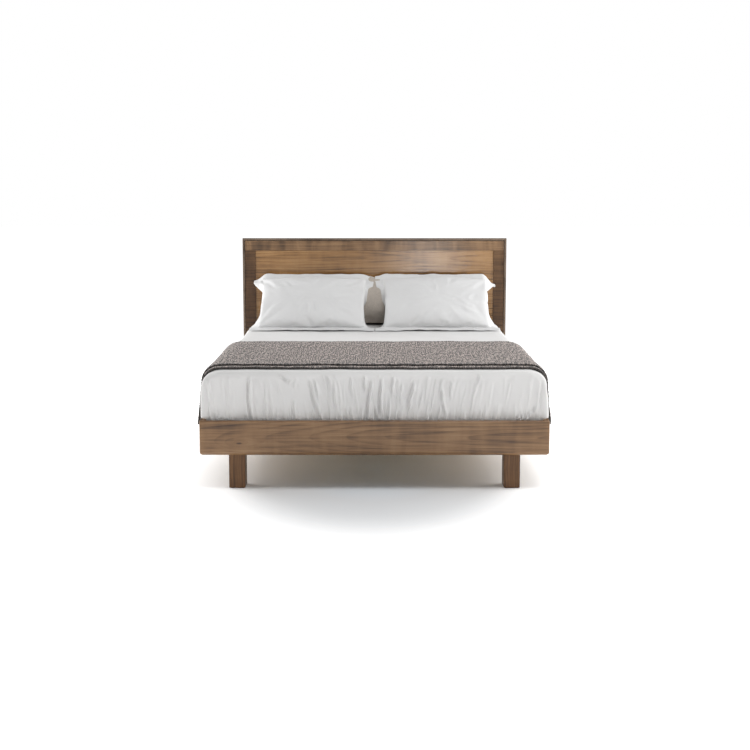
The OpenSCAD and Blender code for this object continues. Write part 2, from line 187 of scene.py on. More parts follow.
def walnut(name, grain, dark, mid, light, centre=(0, 0, 0), pitch=0.014, slope=0.05,
           seed=0.0, figure=0.5, ring_depth=0.27, rough=(0.36, 0.5), bend=0.06, coat=0.12,
           turn_back=9.0, knot=None):
    """Sliced walnut: growth rings cut by the board's face, fibre, pores and chatoyance.

    grain is the axis that the fibres follow; centre is where the rings' middle line runs, and
    the rings tilt away from it by slope, which draws the pointed arches. Past turn_back along
    the board they close again. A knot bends the rings around its place."""
    s = Surface(name, IOR=1.5, Coat_Weight=coat, Coat_Roughness=0.14, Specular_IOR_Level=0.34)
    axes = AXES[grain]
    parts = s.split(s.node("TexCoord").outputs["Object"])
    u, v, w = (s.sub(parts[axis], centre[axis]) for axis in axes)

    def fibrous(along, across, shift, detail, roughness=0.5, distortion=0.0):
        """Noise with so many features to a metre along the fibres, and across them."""
        where = s.joined(s.mul_add(u, along, seed + shift), s.mul(v, across), s.mul(w, across))
        return s.noise(where, 1.0, detail, roughness, distortion)

    wander = s.sub(fibrous(0.9, 2.0, 0.0, 1.0), 0.5)
    waver = s.sub(fibrous(2.5, 16.0, 7.0, 3.0), 0.5)
    height = s.add(w, s.mul_add(s.math("PINGPONG", u, turn_back), slope, s.mul(wander, bend)))
    side = s.mul_add(wander, 0.5 * bend, v)
    radius = s.math("SQRT", s.add(s.mul(side, side), s.mul(height, height)))
    turns, eye = s.mul_add(radius, 1 / pitch, s.mul(waver, 0.9)), 0.0
    if knot:
        turns, eye = knotted(s, turns, *(s.sub(parts[axis], knot[axis]) for axis in axes[:2]))
    rings = s.mul(ring_lines(s, turns, fibrous(0.8, 12.0, 3.0, 2.0)), ring_depth)

    fibre = fibrous(5.0, 330.0, 1.0, 3.0, 0.6)
    streak = fibrous(1.5, 62.0, 5.0, 3.0, 0.7)
    cloud = fibrous(4.5, 5.0, 11.0, 2.0)
    flame = fibrous(16.0, 3.0, 13.0, 2.0, 0.5, 0.6)
    tone = s.mul_add(s.span(streak, 0.32, 0.68), 0.42, 0.26)
    for field, amount in ((fibre, 0.28), (cloud, 0.30), (flame, 0.30 * figure)):
        tone = s.mul_add(s.span(field, 0.3, 0.7, -0.5, 0.5), amount, tone)
    tone = s.sub(tone, s.math("MAXIMUM", rings, eye))
    body = s.ramp(tone, [(0.0, linear(*dark)), (0.42, linear(*mid)), (0.95, linear(*light))])

    pore = s.span(fibrous(45.0, 1500.0, 2.0, 1.0), 0.64, 0.74)
    s.colour(s.mix(s.mul(pore, 0.45), body, shade(dark, 0.45)))
    s.rough(s.span(s.add(fibre, rings), 0.2, 1.2, *rough))
    s.bump(s.sub(s.mul(fibre, 0.5), s.add(pore, rings)), 0.00025, 0.5)
    return s


def plain_wood(name, dark, light, grain, seed):
    """Pale slat wood: straight fibre with a few darker growth lines."""
    s = Surface(name)
    scale = [330.0, 330.0, 330.0]
    scale[AXES[grain][0]] = 5.0
    fibre = s.noise(s.position(tuple(scale), (seed, 0, 0)), 1.0, 3.0, 0.6)
    growth = s.noise(s.position(tuple(c / 9 for c in scale), (0, seed, 0)), 1.0, 3.0, 0.5, 0.4)
    tone = s.mul_add(fibre, 0.45, s.mul(growth, 0.6))
    s.colour(s.ramp(tone, [(0.2, linear(*dark)), (0.8, linear(*light))]))
    s.rough(s.span(fibre, 0.2, 0.8, 0.5, 0.68))
    s.bump(fibre, 0.0003, 0.5)
    return s


def metal(name, tone, rough, metallic=1.0, grit=900.0):
    """Brushed or painted metal with fine scratches and uneven gloss."""
    s = Surface(name, Metallic=metallic)
    fine = s.noise(s.position(), grit, 2.0)
    patch = s.noise(s.position(), 25.0, 3.0)
    s.colour(s.ramp(s.mul_add(patch, 0.5, s.mul(fine, 0.5)),
                    [(0.25, shade(tone, 0.82)), (0.8, linear(*tone))]))
    s.rough(s.span(patch, 0.3, 0.7, rough - 0.06, rough + 0.08))
    s.bump(fine, 0.00006, 0.5)
    return s


def felt(name, tone):
    s = Surface(name, Roughness=0.95, Sheen_Weight=0.3)
    fuzz = s.noise(s.position(), 900.0, 4.0, 0.7)
    s.colour(s.ramp(fuzz, [(0.3, shade(tone, 0.6)), (0.75, linear(*tone))]))
    s.bump(fuzz, 0.0008, 0.8)
    return s


def finish_rails():
    """The rails' arches open from near their middle, and the front rail has a knot."""
    tones = dict(dark=(62, 40, 22), mid=(126, 93, 60), light=(160, 126, 89))
    paint(["front_rail"], walnut("walnut_front_rail", "x", centre=(1.0, -1.07, 0.250), pitch=0.015,
                                 slope=0.055, seed=3.1, coat=0.3, knot=(-0.637, -1.07, 0.223),
                                 **tones))
    for name, seed in (("left_side_rail", 4.2), ("right_side_rail", 6.4)):
        paint([name], walnut("walnut_" + name, "y", centre=(0.8, 0.5, 0.24), pitch=0.012,
                             slope=0.06, seed=seed, **tones))
    paint(["head_rail"], walnut("walnut_head_rail", "x", centre=(0.3, 1.0, 0.2), seed=8.0, **tones))


def finish_headboard():
    """A golden panel in darker borders, with greyer lipping around them."""
    face = 1.03  # front of the border boards, where the rings of all of these are cut
    border = dict(dark=(58, 40, 24), mid=(114, 85, 56), light=(150, 117, 82), pitch=0.010,
                  slope=0.02)
    paint(["headboard_panel"], walnut("walnut_panel", "x", centre=(-0.60, face, 0.960),
                                      pitch=0.015, slope=0.055, seed=1.7, figure=0.35,
                                      rough=(0.14, 0.21), turn_back=0.88, coat=0.3,
                                      dark=(74, 50, 28), mid=(146, 108, 66), light=(180, 142, 96)))
    paint(["headboard_top_border"], walnut("walnut_top_border", "x", centre=(0.5, face, 1.3),
                                           seed=5.3, figure=1.5, ring_depth=0.25, coat=0.4,
                                           **border))
    paint(["headboard_bottom_border"], walnut("walnut_bottom_border", "x", centre=(0, face, 0.1),
                                              seed=5.9, **border))
    for name, seed in (("headboard_left_border", 2.2), ("headboard_right_border", 9.1)):
        paint([name], walnut("walnut_" + name, "x", centre=(2.0, face, 0.5), pitch=0.009,
                             slope=0.02, seed=seed, figure=0.8, ring_depth=0.35, coat=0.0,
                             dark=(44, 29, 17), mid=(86, 61, 39), light=(120, 90, 60)))
    for side, grain in (("top", "x"), ("bottom", "x"), ("left", "z"), ("right", "z")):
        name = f"headboard_{side}_trim"
        low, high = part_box(name)
        paint([name], walnut("trim_" + side, grain, centre=tuple((low + high) / 2), pitch=0.006,
                             slope=0.03, seed=len(side), ring_depth=0.25,
                             dark=(66, 52, 41), mid=(108, 91, 76), light=(134, 116, 99)))
    paint(["headboard_back"], walnut("back_board", "x", centre=(0.2, 1.07, 0.6), pitch=0.016,
                                     slope=0.05, seed=12.0, rough=(0.55, 0.7),
                                     dark=(60, 42, 30), mid=(96, 72, 53), light=(126, 98, 76)))


def finish_legs():
    for i, name in enumerate(["front_left_leg", "front_right_leg", "rear_left_leg",
                              "rear_right_leg", "centre_leg_front", "centre_leg_rear"]):
        low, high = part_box(name)
        middle = (low + high) / 2
        paint([name], walnut("walnut_" + name, "z", centre=(middle.x - 0.05, middle.y, 0.1),
                             pitch=0.009, slope=0.08, seed=1.0 + 2.7 * i, coat=0.0,
                             rough=(0.4, 0.52), dark=(46, 28, 15), mid=(100, 69, 41),
                             light=(134, 97, 62)))
    paint(["foot_pads"], felt("felt_pad", (66, 61, 57)))


def finish_deck():
    """Pine slats, ledges and beam, and all the metal."""
    for i in range(1, 15):
        name = f"slat_{i}"
        paint([name], plain_wood("pine_" + name, (176, 142, 100), (222, 196, 156), "x",
                                 3.7 * (i - 1)))
    paint(["left_ledge", "right_ledge"], plain_wood("pine_ledge", (176, 142, 100),
                                                    (220, 194, 154), "y", 1.3))
    paint(["centre_beam"], plain_wood("pine_beam", (172, 138, 98), (218, 190, 150), "y", 8.3))
    paint(["leg_bolts", "bracket_screws", "ledge_screws", "centre_leg_studs", "slat_screws",
           "headboard_bolts"], metal("zinc_steel", (168, 170, 173), 0.3))
    paint(["corner_brackets", "beam_hangers"], metal("bracket_paint", (70, 72, 74), 0.45, 0.0, 1500))
    paint(["leg_inserts", "headboard_inserts"], metal("brass_insert", (190, 154, 84), 0.32))


def soften_edges():
    """Small bevels that catch the light on every board and block."""
    rails = ("front_rail", "left_side_rail", "right_side_rail")
    small = ("bolts", "screws", "inserts", "studs", "pads")
    for name, piece in NODES.items():
        if name in SOFT_NODES or name.endswith(small):
            continue
        weld = piece.modifiers.new("Weld", "WELD")
        weld.merge_threshold = 0.00002
        bevel = piece.modifiers.new("Bevel", "BEVEL")
        bevel.width = 0.0015 if name in rails else 0.0008
        bevel.segments = 2
        bevel.limit_method = "ANGLE"
        bevel.angle_limit = math.radians(40)
        bevel.harden_normals = True


# ---- stage ----

WORLD_LIGHT = 0.34
# Distances from the bed over which the floor's painted glow comes in.
FLOOR_GLOW_FADE = (0.62, 1.3)
# Name, place, what it points at, width and height, and power.
LIGHTS = [
    ("left_light", (-3.6, -0.4, 1.3), (-0.6, -0.5, 0), (2.6, 1.6), 28),
    ("right_light", (3.6, -0.4, 1.3), (0.6, -0.5, 0), (2.6, 1.6), 50),
    ("left_rear_light", (-3.4, 1.6, 1.5), (-0.7, -0.6, 0), (2.4, 1.8), 86),
    ("right_rear_light", (3.4, 1.6, 1.5), (0.7, -0.6, 0), (2.4, 1.8), 58),
    ("front_top_light", (1.0, -1.5, 3.4), (0.1, -0.1, 0.5), (1.8, 1.2), 48),
    ("strip_light", (0.65, -6.2, 0.50), (0.38, 1.0, 0.7), (0.6, 1.0), 17),
]


def area_light(name, place, target, size, power):
    data = bpy.data.lights.new(name, "AREA")
    data.shape = "RECTANGLE"
    data.size, data.size_y = size
    data.energy = power
    light = bpy.data.objects.new(name, data)
    bpy.context.scene.collection.objects.link(light)
    light.location = place
    light.rotation_euler = (Vector(target) - light.location).to_track_quat("-Z", "Y").to_euler()


def build_world():
    """Even white light; the camera itself sees a plain white ground."""
    scene = bpy.context.scene
    scene.view_settings.view_transform = "Standard"
    scene.view_settings.look = "None"
    scene.world = bpy.data.worlds.new("studio")
    scene.world.use_nodes = True
    tree = scene.world.node_tree
    background = tree.nodes["Background"]
    background.inputs[0].default_value = (1, 1, 1, 1)
    level = tree.nodes.new("ShaderNodeMapRange")
    level.inputs["To Min"].default_value = WORLD_LIGHT
    level.inputs["To Max"].default_value = 1.0
    seen = tree.nodes.new("ShaderNodeLightPath").outputs["Is Camera Ray"]
    tree.links.new(seen, level.inputs["Value"])
    tree.links.new(level.outputs[0], background.inputs[1])


def build_floor():
    """Pale floor with painted light: it glows more and more away from the bed, so its shadow fades to
    plain white, and near the bed its colour is bluish and greyer as painted shade.
    """
    r = 30.0
    mesh = bpy.data.meshes.new("floor")
    mesh.from_pydata([(-r, -r, 0), (r, -r, 0), (r, r, 0), (-r, r, 0)], [], [(0, 1, 2, 3)])
    floor = bpy.data.objects.new("floor", mesh)
    bpy.context.scene.collection.objects.link(floor)
    s = Surface("floor_with_painted_glow", Roughness=0.9, Emission_Strength=0.78, Specular_IOR_Level=0.1)
    away = s.node("VectorMath", {0: s.position((1.15, 0.7, 1.0), (0, 0.42, 0))},
                  operation="LENGTH").outputs["Value"]
    # Painted shade: the floor's colour is bluish under the bed, greyer around it and lighter away
    # from it.
    tone = s.mul_add(s.noise(s.position(), 0.6, 2.0), 0.1, s.span(away, 0.0, 1.1))
    s.colour(s.ramp(tone, [(0.1, (0.80, 0.90, 1.0, 1)), (0.5, (0.77, 0.79, 0.81, 1)),
                           (1.0, (0.93, 0.93, 0.93, 1))]))
    # Painted light: the floor glows, not at all near the bed and fully away from it, which fades the
    # bed's shadow to white.
    s.feed(s.shader.inputs["Emission Color"],
           s.ramp(s.span(away, *FLOOR_GLOW_FADE, smooth=True), [(0.0, (0, 0, 0, 1)), (1.0, (1, 1, 1, 1))]))
    floor.data.materials.append(s.material)


def build_stage():
    build_world()
    build_floor()
    for light in LIGHTS:
        area_light(*light)


def build_camera():
    """The photo's camera, solved from its verticals and from the bed's widths and heights."""
    data = bpy.data.cameras.new("camera")
    data.sensor_width = 36.0
    data.lens = 61.53
    data.shift_x = 0.00065
    data.shift_y = -0.05
    camera = bpy.data.objects.new("camera", data)
    bpy.context.scene.collection.objects.link(camera)
    camera.location = (0.0, -6.992, 1.4698)
    camera.rotation_euler = (math.pi / 2 - 0.1251, 0.0, 0.0)
    bpy.context.scene.camera = camera


# ---- cloth materials ----


def woven(s, scale):
    """Height of a plain weave: threads over and under each other."""
    warp, weft = (s.node("TexWave", {"Vector": s.position(), "Scale": scale, "Distortion": 0.4,
                                     "Detail": 1.0}, bands_direction=axis).outputs["Fac"]
                  for axis in "XZ")
    return s.math("MAXIMUM", warp, weft)


def cotton(name, tone, seed):
    """White percale: fine threads, slubs and a faint unevenness of tone."""
    s = Surface(name, Sheen_Weight=0.12, Sheen_Roughness=0.5, Specular_IOR_Level=0.25)
    slub = s.noise(s.position((60, 60, 900), (seed, 0, 0)), 1.0, 3.0, 0.6)
    cloud = s.noise(s.position(shift=(0, seed, 0)), 7.0, 3.0)
    s.colour(s.ramp(s.mul_add(slub, 0.35, s.mul(cloud, 0.65)),
                    [(0.25, linear(*[c - 7 for c in tone])),
                     (0.75, linear(*[c + 1 for c in tone]))]))
    s.rough(s.span(slub, 0.3, 0.7, 0.82, 0.92))
    fine = s.noise(s.position(shift=(seed, 0, 0)), 55.0, 3.0, 0.55)
    s.bump(s.mul_add(woven(s, 420.0), 0.125, fine), 0.0009, 0.35)
    return s


def ticking(name, tone):
    """Mattress ticking: quilted diamonds in a fine damask."""
    s = Surface(name, Roughness=0.85, Sheen_Weight=0.1)
    where = s.node("Mapping", {"Vector": s.node("TexCoord").outputs["Object"],
                               "Rotation": (0, 0, math.pi / 4)}).outputs[0]
    seams = [s.node("TexWave", {"Vector": where, "Scale": 3.2}, wave_profile="TRI",
                    bands_direction=axis).outputs["Fac"] for axis in "XY"]
    quilt = s.mul(s.span(seams[0], 0, 0.4), s.span(seams[1], 0, 0.4))
    s.colour(s.ramp(s.mul_add(woven(s, 300.0), 0.3, s.mul(quilt, 0.7)),
                    [(0.0, linear(*[c - 22 for c in tone])), (0.6, linear(*tone))]))
    s.bump(quilt, 0.004, 0.6)
    return s


def knitwear(name, tone):
    """Chunky marled yarn: stitches, twisted plies, light and dark flecks, painted shade and light
    that follow the stitches' relief, and painted shade at the hems and the fold.

    The attribute cloth holds the place across and along the throw, and the painted shade of its hems
    and fold."""
    s = Surface(name, Roughness=0.95, Sheen_Weight=0.35, Sheen_Roughness=0.6,
                Specular_IOR_Level=0.15)
    cloth = s.node("Attribute", attribute_name="cloth").outputs["Vector"]
    u, v, painted_hem_shade = s.split(cloth)
    across = s.math("ABSOLUTE", s.mul_add(s.math("FRACT", s.div(u, STITCH[0])), 2.0, -1.0))
    climb = s.mul_add(across, -STITCH_SLANT, s.div(v, STITCH[1]))
    ply = s.math("SINE", s.mul_add(climb, 6 * math.pi, s.mul(across, 26.0)))
    groove = s.math("POWER", s.math("ABSOLUTE", s.mul_add(across, 2.0, -1.0)), 3.0)
    wave = s.mul_add(s.math("COSINE", s.mul(climb, 2 * math.pi)), 0.5, 0.5)
    strand = s.joined(s.div(s.mul_add(v, -0.13, u), 0.0054), s.div(v, 0.044))
    fleck = s.noise(strand, 1.0, 1.0)
    fuzz = s.noise(s.node("Mapping", {"Vector": cloth, "Scale": (600, 600, 0)}).outputs[0],
                   1.0, 3.0, 0.7)
    # Painted shade and painted highlight: the yarn colour is darker in the grooves between stitch
    # columns and lighter on the raised crests, following the relief.
    level = s.mul_add(s.span(fleck, 0.455, 0.565), 0.80, s.mul(wave, 0.14))
    level = s.mul_add(groove, -0.28, s.mul_add(fuzz, 0.25, level))
    yarn = s.ramp(level, [(0.05, shade(tone, 0.52)), (0.40, linear(*tone)),
                          (0.95, linear(*[min(1.9 * c, 235) for c in tone]))])
    # Painted shade: the yarn turns to a darker tone where the cloth attribute marks the hems and the
    # back fold.
    s.colour(s.mix(s.mul(painted_hem_shade, 0.8), yarn, shade(tone, 0.34)))
    height = s.mul_add(ply, 0.18, s.mul(wave, 0.6))
    s.bump(s.mul_add(fuzz, 0.25, s.mul_add(groove, -0.5, height)), 0.0022, 0.8)
    return s


def weave(name, tone):
    """Slubby basket weave of the long cushion."""
    s = Surface(name, Roughness=0.9, Sheen_Weight=0.2, Specular_IOR_Level=0.2)
    slub = s.noise(s.position((40, 500, 500)), 1.0, 3.0, 0.6)
    fleck = s.noise(s.position(), 160.0, 3.0, 0.65)
    mixed = s.mul_add(fleck, 0.4, s.mul_add(woven(s, 130.0), 0.3, s.mul(slub, 0.3)))
    s.colour(s.ramp(mixed, [(0.2, shade(tone, 0.72)), (0.75, shade(tone, 1.08))]))
    s.bump(mixed, 0.0012, 0.7)
    return s


# ---- soft goods: shared tools ----


def grid_faces(rows, cols, start=0):
    """Quads of a grid whose points run along each row in turn."""
    r, c = np.mgrid[0:rows - 1, 0:cols - 1]
    a = (start + r * cols + c).ravel()
    return np.stack([a, a + 1, a + cols + 1, a + cols], 1)


def make_mesh(name, points, faces, surface=None, subdivide=0):
    mesh = bpy.data.meshes.new(name)
    mesh.from_pydata(np.asarray(points, float).tolist(), [], [tuple(map(int, f)) for f in faces])
    mesh.update()
    mesh.shade_smooth()
    piece = bpy.data.objects.new(name, mesh)
    bpy.context.scene.collection.objects.link(piece)
    if surface:
        mesh.materials.append(surface.material)
    if subdivide:
        sub = piece.modifiers.new("Subdivision", "SUBSURF")
        sub.levels = sub.render_levels = subdivide
    return piece


def normals_of(points, faces):
    mesh = bpy.data.meshes.new("measure")
    mesh.from_pydata(points.tolist(), [], [tuple(map(int, f)) for f in faces])
    out = np.empty(len(points) * 3)
    mesh.vertices.foreach_get("normal", out)
    bpy.data.meshes.remove(mesh)
    return out.reshape(-1, 3)


def simulate(points, faces, frames, pressure, inflated=None, hold=None, bend=0.5, rest=None):
    """Cloth simulation with gravity off. Returns where the points end up.

    inflated and hold weigh each point for the pressure and for staying in place; rest is the
    shape that the cloth would take by itself."""
    piece = make_mesh("cloth_work", points, faces)
    cloth = piece.modifiers.new("Cloth", "CLOTH")
    settings = cloth.settings
    settings.quality = 5
    settings.mass = 0.3
    settings.tension_stiffness = settings.compression_stiffness = 15.0
    settings.shear_stiffness = 5.0
    settings.bending_stiffness = bend
    settings.effector_weights.gravity = 0
    if rest is not None:
        piece.shape_key_add(name="Basis")
        key = piece.shape_key_add(name="rest")
        key.data.foreach_set("co", rest.ravel())
        settings.rest_shape_key = key
    settings.use_pressure = True
    settings.uniform_pressure_force = pressure
    for name, key, weights in (("air", "vertex_group_pressure", inflated),
                               ("hold", "vertex_group_mass", hold)):
        if weights is None:
            continue
        group = piece.vertex_groups.new(name=name)
        for i in np.flatnonzero(np.asarray(weights) > 0):
            group.add([int(i)], float(weights[i]), "REPLACE")
        setattr(settings, key, name)
    cloth.collision_settings.use_collision = False
    cloth.point_cache.frame_start, cloth.point_cache.frame_end = 1, frames
    scene = bpy.context.scene
    for frame_number in range(1, frames + 1):
        scene.frame_set(frame_number)
    done = piece.evaluated_get(bpy.context.evaluated_depsgraph_get())
    result = np.empty(len(points) * 3)
    done.data.vertices.foreach_get("co", result)
    bpy.data.objects.remove(piece)
    scene.frame_set(1)
    return result.reshape(-1, 3)


def smooth(low, high, value):
    """Smooth step from 0 at low to 1 at high."""
    t = np.clip((np.asarray(value, float) - low) / (high - low), 0, 1)
    return t * t * (3 - 2 * t)


def capped(start, end, limit):
    """End positions, none further than limit from its start."""
    move = end - start
    far = np.linalg.norm(move, axis=1, keepdims=True)
    return start + move * np.minimum(1.0, limit / np.maximum(far, 1e-9))


def resampled(grid, stations):
    """Grid read at fractional column stations, along smooth curves through its columns."""
    last = grid.shape[1] - 1
    first = np.minimum(stations.astype(int), last - 1)
    f = (stations - first)[:, None]
    a, b, c, d = (grid[:, np.clip(first + k, 0, last)] for k in (-1, 0, 1, 2))
    return b + 0.5 * f * (c - a + f * (2 * a - 5 * b + 4 * c - d + f * (3 * (b - c) + d - a)))


def waves(x, y, count, longest, shortest, seed):
    """Smooth random field, about -1 to 1, from a sum of sine waves."""
    draw = np.random.default_rng(seed)
    total = np.zeros_like(x, float)
    for _ in range(count):
        length = shortest * (longest / shortest) ** draw.random()
        angle, phase = draw.random(2) * 2 * math.pi
        total += np.sin(2 * math.pi * (x * math.cos(angle) + y * math.sin(angle)) / length + phase)
    return total / math.sqrt(count)


# ---- pillows and cushion ----

PILLOW_STEP = 0.01
PILLOW_SHIFT = -0.016
EAR_DROP = {"left": 0.026, "right": 0.044}
INNER_EAR_DROP = 0.014
FLANGE_HALF = 0.0024
FOOT_LAP = math.radians(30)
PILLOW_LEAN, CUSHION_LEAN = 42.3, 62.0


def trued(skins, rim, edges, pinch, share):
    """Draws the seams of both skins back towards a rectangle that is pulled in mid-side."""
    seam = skins[0].copy()
    ends = (rim, -1 - rim)
    for axis in (0, 1):
        lines = [np.take(seam[:, :, axis], e, axis=1 - axis) for e in ends]
        other = [np.take(seam[:, :, 1 - axis], e, axis=1 - axis) for e in ends]
        wanted = [sign * (edges[axis] - pinch[axis] * np.clip(1 - (o / edges[1 - axis]) ** 2, 0, 1))
                  for sign, o in zip((-1, 1), other)]
        wanted = [line + share * (w - line) for line, w in zip(lines, wanted)]
        for skin in skins:
            low, high, goal_low, goal_high = [np.expand_dims(v, 1 - axis)
                                              for v in (*lines, *wanted)]
            skin[:, :, axis] = goal_low + (skin[:, :, axis] - low) * (goal_high - goal_low) / \
                (high - low)
    return skins


def stuffed_case(width, height, rim_cells, step, pressure, seed, creases, pinch=(0.012, 0.008),
                 shape=None):
    """Two panels sewn along a seam and blown up, with a flat two-layer rim outside the seam.

    Returns points and faces of one closed mesh, lying in X and Y with its front towards +Z."""
    nx, ny = round(width / step) + 1, round(height / step) + 1
    xs, ys = np.linspace(-width / 2, width / 2, nx), np.linspace(-height / 2, height / 2, ny)
    x, y = np.meshgrid(xs, ys)
    col, row = np.meshgrid(np.arange(nx), np.arange(ny))
    inset = np.minimum.reduce([col, row, nx - 1 - col, ny - 1 - row])
    body = inset > rim_cells
    edge_x, edge_y = xs[-1 - rim_cells], ys[-1 - rim_cells]
    crown = np.where(body, (1 - (x / edge_x) ** 4) * (1 - (y / edge_y) ** 4), 0)
    rough = waves(x, y, 24, 0.30, 0.05, seed) * creases
    front = np.stack([x, y, crown * (0.014 + rough) + np.where(body, 0, rough * 0.5)], 2)
    back = front * [1, 1, -1]

    n = nx * ny
    twin = np.arange(n)
    inside = np.flatnonzero(body)
    twin[inside] = n + np.arange(len(inside))
    quads = grid_faces(ny, nx)
    filled = (inset.ravel()[quads] >= rim_cells).all(1)
    points = np.concatenate([front.reshape(-1, 3), back.reshape(-1, 3)[inside]])
    air = np.ones(len(points))
    air[:n][(inset < rim_cells).ravel()] = 0
    faces = np.concatenate([quads, twin[quads[filled]][:, ::-1]])
    points = simulate(points, faces, 20, pressure, inflated=air)

    top, bottom = points[:n], points[twin]
    lift = normals_of(top, quads) * 0.0014
    loose = (inset <= rim_cells).ravel()[:, None]
    top, bottom = np.where(loose, top + lift, top), np.where(loose, bottom - lift, bottom)
    skins = [top.reshape(ny, nx, 3), bottom.reshape(ny, nx, 3)]
    skins = trued(skins, rim_cells, (edge_x, edge_y), pinch, 0.95)
    if shape:
        skins = shape(skins, rim_cells)
    top, bottom = skins[0].reshape(-1, 3), skins[1].reshape(-1, 3)
    loop = np.concatenate([np.arange(nx), np.arange(1, ny) * nx + nx - 1,
                           (ny - 1) * nx + np.arange(nx - 2, -1, -1),
                           np.arange(ny - 2, 0, -1) * nx])
    after = np.roll(loop, -1)
    hem = np.stack([loop, loop + n, after + n, after], 1)
    return np.concatenate([top, bottom]), np.concatenate([quads, quads[:, ::-1] + n, hem])


def leaning(points, lean, place):
    """Turns a case lying in X and Y up to its lean and moves it to its place."""
    c, s = math.cos(math.radians(lean)), math.sin(math.radians(lean))
    x, y, z = points.T
    return np.stack([x + place[0], y * c - z * s + place[1], y * s + z * c + place[2]], 1)


def settled(points, floor_z, give=0.35):
    """Presses the underside flat where it would sink into the bed."""
    low = np.clip(floor_z - points[:, 2], 0, None)
    return points + np.stack([0 * low, -low * give, low * 0.98], 1)


def tucks(x, y, count, reach, seed):
    """Height of short slanting creases scattered over a cushion's face."""
    draw = np.random.default_rng(seed)
    total = np.zeros_like(x)
    for _ in range(count):
        px, py = (draw.random(2) * 2 - 1) * reach
        angle = math.atan2(-py, -px) + 0.9 * (draw.random() - 0.5)
        length, width = 0.03 + 0.05 * draw.random(), 0.005 + 0.006 * draw.random()
        along = (x - px) * math.cos(angle) + (y - py) * math.sin(angle)
        aside = (y - py) * math.cos(angle) - (x - px) * math.sin(angle) + 2.0 * along ** 2
        ridge = np.exp(-(aside / width) ** 2) - 0.6 * np.exp(-((aside / width - 1.7)) ** 2)
        total += (0.0022 + 0.0034 * draw.random()) * ridge * np.exp(-(along / length) ** 2)
    return total


def flattened(skins, rim, share):
    """Takes most of the warp out of the seam line, and fades the change into the panels."""
    ny, nx = skins[0].shape[:2]
    z = (skins[0][:, :, 2] + skins[1][:, :, 2]) / 2
    s = np.clip((np.arange(nx) - rim) / (nx - 1 - 2 * rim), 0, 1)[None, :]
    t = np.clip((np.arange(ny) - rim) / (ny - 1 - 2 * rim), 0, 1)[:, None]
    across, along = ((1 - s) ** 3, s ** 3), ((1 - t) ** 3, t ** 3)
    cols, rows = (rim, nx - 1 - rim), (rim, ny - 1 - rim)
    warp = sum(w * z[r][None, :] for w, r in zip(along, rows))
    warp = warp + sum(w * z[:, c][:, None] for w, c in zip(across, cols))
    warp = warp - sum(w * q * z[r, c] for w, r in zip(along, rows) for q, c in zip(across, cols))
    for skin in skins:
        skin[:, :, 2] -= share * warp
    return skins


def flange_spread(height, outside):
    """How much of the side flange is turned outwards: none halfway up, all at the corners."""
    foot = np.where(outside, np.clip((-height - 0.015) / 0.20, 0, 1), smooth(0.150, 0.215, -height))
    top = np.where(outside, smooth(0.11, 0.175, height), np.clip((height + 0.015) / 0.14, 0, 1))
    return np.where(height < 0, foot, top)


def pillow_shape(side, seed):
    """Creases the case and lays its rim: sides fall back, the foot lies forward on the bed."""
    outer = -1 if side == "left" else 1
    ear_drop = {outer: EAR_DROP[side], -outer: INNER_EAR_DROP}

    def lay(skins, rim):
        skins = flattened(skins, rim, 0.8)
        ny, nx = skins[0].shape[:2]
        seam = (skins[0] + skins[1]) / 2
        col, row = np.meshgrid(np.arange(nx), np.arange(ny))
        root_col, root_row = np.clip(col, rim, nx - 1 - rim), np.clip(row, rim, ny - 1 - rim)
        root = seam[root_row, root_col]
        out_x, out_y = (col - root_col) * PILLOW_STEP, (row - root_row) * PILLOW_STEP
        loose = (out_x != 0) | (out_y != 0)
        at_side = (root_col == rim) | (root_col == nx - 1 - rim)
        stitched = ~loose & (at_side | (root_row == rim) | (root_row == ny - 1 - rim))
        body = ~loose & ~at_side
        spread = flange_spread(root[:, :, 1] + PILLOW_SHIFT, out_x * outer > 0)
        turn = 1.03 * np.arccos(spread)
        lap = FOOT_LAP * (out_y < 0)
        ripple = waves(root[:, :, 0], root[:, :, 1], 16, 0.22, 0.05, seed) * np.hypot(out_x, out_y)
        for skin, half in zip(skins, (FLANGE_HALF, -FLANGE_HALF)):
            skin[stitched] = root[stitched] + [0, 0, 0.1 * half]
            z = half + 0.03 * ripple
            x = out_x * np.cos(turn) + np.sign(out_x) * z * np.sin(turn)
            z = z * np.cos(turn) - np.abs(out_x) * np.sin(turn)
            y = out_y * np.cos(lap) + z * np.sin(lap) + 0.02 * ripple
            z = z * np.cos(lap) - out_y * np.sin(lap)
            skin[loose] = (root + np.stack([x, y, z], 2))[loose]
            x, y, z = skin[:, :, 0], skin[:, :, 1], skin[:, :, 2]
            full = 1 + 0.16 * np.clip(-y / 0.18, -1, 1)
            dents = tucks(x, y, 26, (0.27, 0.15), seed) * np.sign(half) * body
            z = z * np.where(body, full, 1) + dents
            y = y + PILLOW_SHIFT
            for end in (-1, 1):
                droop = ear_drop[end] * smooth(0.29, 0.365, end * x) * smooth(0.15, 0.21, y)
                z, y = z - 1.1 * droop, y - droop
            skin[:, :, 1], skin[:, :, 2] = y, z
        return skins
    return lay


